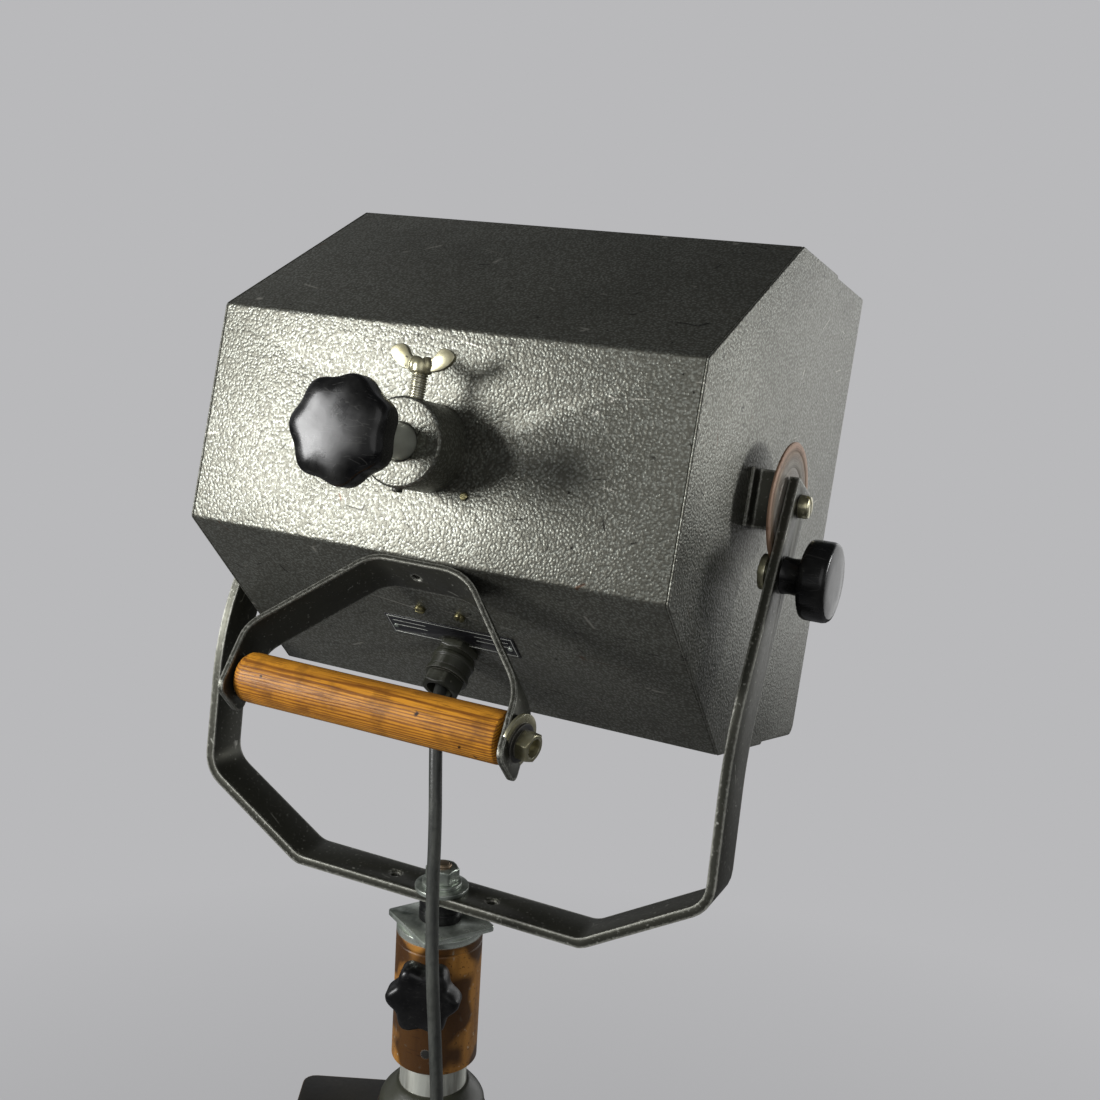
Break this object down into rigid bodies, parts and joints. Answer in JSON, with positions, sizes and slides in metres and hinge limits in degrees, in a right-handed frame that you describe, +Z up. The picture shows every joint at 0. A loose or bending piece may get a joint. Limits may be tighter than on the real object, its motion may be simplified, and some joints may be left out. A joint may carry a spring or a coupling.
{
  "type": "tripod spotlight floor lamp",
  "caption": "Box-shaped lens spotlight tilting in a yoke on a telescopic mast, over a folding stand, with a rear focus knob, a wooden handle and a lead with its plug.",
  "frame": {"origin": "middle of the stand's footprint, on the floor", "axes": "+Z up, the light shines towards -Y, +X is the side without the tilt knob; the mast axis stands 119.5 mm behind the origin"},
  "size_m": [0.8766, 0.7641, 1.5155],
  "materials": {
    "case_enamel": "hammered grey enamel, worn at the edges",
    "dark_enamel": "dark enamel, chipped to bare metal along edges",
    "olive_enamel": "olive grey enamel",
    "brown_varnish": "brown varnish with vertical scratches",
    "blue_zinc": "clear zinc plating, dulled",
    "yellow_zinc": "yellow zinc plating",
    "brass": "dull",
    "mast_zinc": "streaked zinc plating",
    "disc_steel": "worn friction face with a rust ring",
    "knob_plastic": "black thermoset plastic",
    "star_plastic": "black, matt",
    "pine": "varnished pine",
    "lens_glass": "pressed clear glass",
    "bulb_glass": "frosted",
    "holder": "glazed, off-white",
    "reflector": "polished",
    "inner_alloy": "mill finish",
    "rod_steel": "ground",
    "cast_black": "black enamel with worn corners",
    "stand_enamel": "dark grey enamel",
    "brace_zinc": "zinc plated strip",
    "foot_rubber": "moulded rubber",
    "lead_rubber": "sheened rubber sheath",
    "plug_rubber": "moulded plug",
    "tie": "plastic band"
  },
  "bodies": {
    "stand": {"collar": "olive_enamel", "clamp_block": "cast_black", "column": "stand_enamel", "leg_hub": "cast_black", "hub_pins": "blue_zinc", "cord_coil": "lead_rubber", "cord_tie": "tie", "cord_plug": "plug_rubber"},
    "mast": {"mast_tube": "mast_zinc", "mast_guide": "star_plastic", "cord_drop": "lead_rubber"},
    "yoke": {"yoke_bar": "dark_enamel", "yoke_bolt": "blue_zinc", "yoke_washers": "blue_zinc", "spacer_disc": "star_plastic", "square_plate": "blue_zinc", "sleeve_cap": "blue_zinc", "sleeve": "brown_varnish", "clamp_washer": "yellow_zinc", "cord_mast": "lead_rubber"},
    "head": {"casing_wrap": "case_enamel", "side_plates": "case_enamel", "front_frame": "case_enamel", "lens": "lens_glass", "lens_ring": "dark_enamel", "filter_runners": "case_enamel", "vent_baffles": "case_enamel", "guide_frame": "rod_steel", "focus_boss": "case_enamel", "case_screws": "brass", "handle_strap": "dark_enamel", "handle_grip": "pine", "handle_bolt": "yellow_zinc", "label_plate": "dark_enamel", "gland_body": "olive_enamel", "gland_nut": "olive_enamel", "pivot_brackets": "dark_enamel", "friction_disc": "disc_steel", "pivot_screws": "yellow_zinc", "cord_head": "lead_rubber"},
    "carriage": {"focus_rod": "rod_steel", "focus_knob": "knob_plastic", "lamp_carriage": "inner_alloy", "lamp_holder": "holder", "bulb": "bulb_glass", "reflector": "reflector"},
    "wing_screw": {"wing_screw": "yellow_zinc"},
    "tilt_knob": {"tilt_knob": "knob_plastic"},
    "sleeve_knob": {"sleeve_knob": "star_plastic"},
    "clamp_knob": {"clamp_knob": "star_plastic"},
    "runner": {"runner": "cast_black"},
    "leg_front": {"leg_front": "stand_enamel", "foot_front": "foot_rubber"},
    "brace_front": {"brace_front": "brace_zinc"},
    "leg_left": {"leg_left": "stand_enamel", "foot_left": "foot_rubber"},
    "brace_left": {"brace_left": "brace_zinc"},
    "leg_right": {"leg_right": "stand_enamel", "foot_right": "foot_rubber"},
    "brace_right": {"brace_right": "brace_zinc"}
  },
  "joints": [
    {"name": "mast_slide", "type": "slide", "parent": "stand", "child": "mast", "axis": [0, 0, 1], "range_m": [0, 0.45], "deforming": ["cord_drop"]},
    {"name": "pan", "type": "hinge", "parent": "mast", "child": "yoke", "pos_m": [0, 0.1195, 1.15], "axis": [0, 0, 1], "range_deg": [-170, 170], "deforming": ["cord_mast"]},
    {"name": "tilt", "type": "hinge", "parent": "yoke", "child": "head", "pos_m": [0, 0.0413, 1.3834], "axis": [1, 0, 0], "range_deg": [-60, 76], "deforming": ["cord_head"]},
    {"name": "focus", "type": "slide", "parent": "head", "child": "carriage", "axis": [0, -0.9707, -0.2402], "range_m": [-0.055, 0.038]},
    {"name": "wing_screw_turn", "type": "hinge", "parent": "head", "child": "wing_screw", "pos_m": [0, 0.1712, 1.42255], "axis": [0, -0.2402, 0.9707], "range_deg": [0, 360]},
    {"name": "tilt_knob_turn", "type": "hinge", "parent": "yoke", "child": "tilt_knob", "pos_m": [-0.16, 0.05982, 1.35022], "axis": [-1, 0, 0], "range_deg": [0, 360]},
    {"name": "sleeve_knob_turn", "type": "hinge", "parent": "yoke", "child": "sleeve_knob", "pos_m": [0, 0.1195, 1.1115], "axis": [-0.3256, 0.9455, 0], "range_deg": [0, 360]},
    {"name": "clamp_knob_turn", "type": "hinge", "parent": "stand", "child": "clamp_knob", "pos_m": [0, 0.1195, 0.983], "axis": [0.9063, 0.4226, 0], "range_deg": [0, 360]},
    {"name": "leg_front_fold", "type": "hinge", "parent": "stand", "child": "leg_front", "pos_m": [0, 0.0615, 0.905], "axis": [1, 0, 0], "range_deg": [0, 24.5]},
    {"name": "brace_front_fold", "type": "hinge", "parent": "leg_front", "child": "brace_front", "pos_m": [0, -0.0268, 0.67026], "axis": [1, 0, 0], "range_deg": [-49.68, 0]},
    {"name": "leg_left_fold", "type": "hinge", "parent": "stand", "child": "leg_left", "pos_m": [0.05023, 0.1485, 0.905], "axis": [-0.5, 0.866, 0], "range_deg": [0, 24.6]},
    {"name": "brace_left_fold", "type": "hinge", "parent": "leg_left", "child": "brace_left", "pos_m": [0.1267, 0.19265, 0.67026], "axis": [-0.5, 0.866, 0], "range_deg": [-49.68, 0]},
    {"name": "leg_right_fold", "type": "hinge", "parent": "stand", "child": "leg_right", "pos_m": [-0.05023, 0.1485, 0.905], "axis": [-0.5, -0.866, 0], "range_deg": [0, 24.6]},
    {"name": "brace_right_fold", "type": "hinge", "parent": "leg_right", "child": "brace_right", "pos_m": [-0.1267, 0.19265, 0.67026], "axis": [-0.5, -0.866, 0], "range_deg": [-49.68, 0]},
    {"name": "runner_slide", "type": "slide", "parent": "stand", "child": "runner", "axis": [0, 0, 1], "range_m": [-0.04044, 0]}
  ],
  "couplings": [
    {"joint": "brace_front_fold", "follows": "leg_front_fold", "ratio": -2.0197},
    {"joint": "leg_left_fold", "follows": "leg_front_fold", "ratio": 1},
    {"joint": "brace_left_fold", "follows": "leg_front_fold", "ratio": -2.0197},
    {"joint": "leg_right_fold", "follows": "leg_front_fold", "ratio": 1},
    {"joint": "brace_right_fold", "follows": "leg_front_fold", "ratio": -2.0197},
    {"joint": "runner_slide", "follows": "leg_front_fold", "m_per_rad": -0.09387}
  ]
}
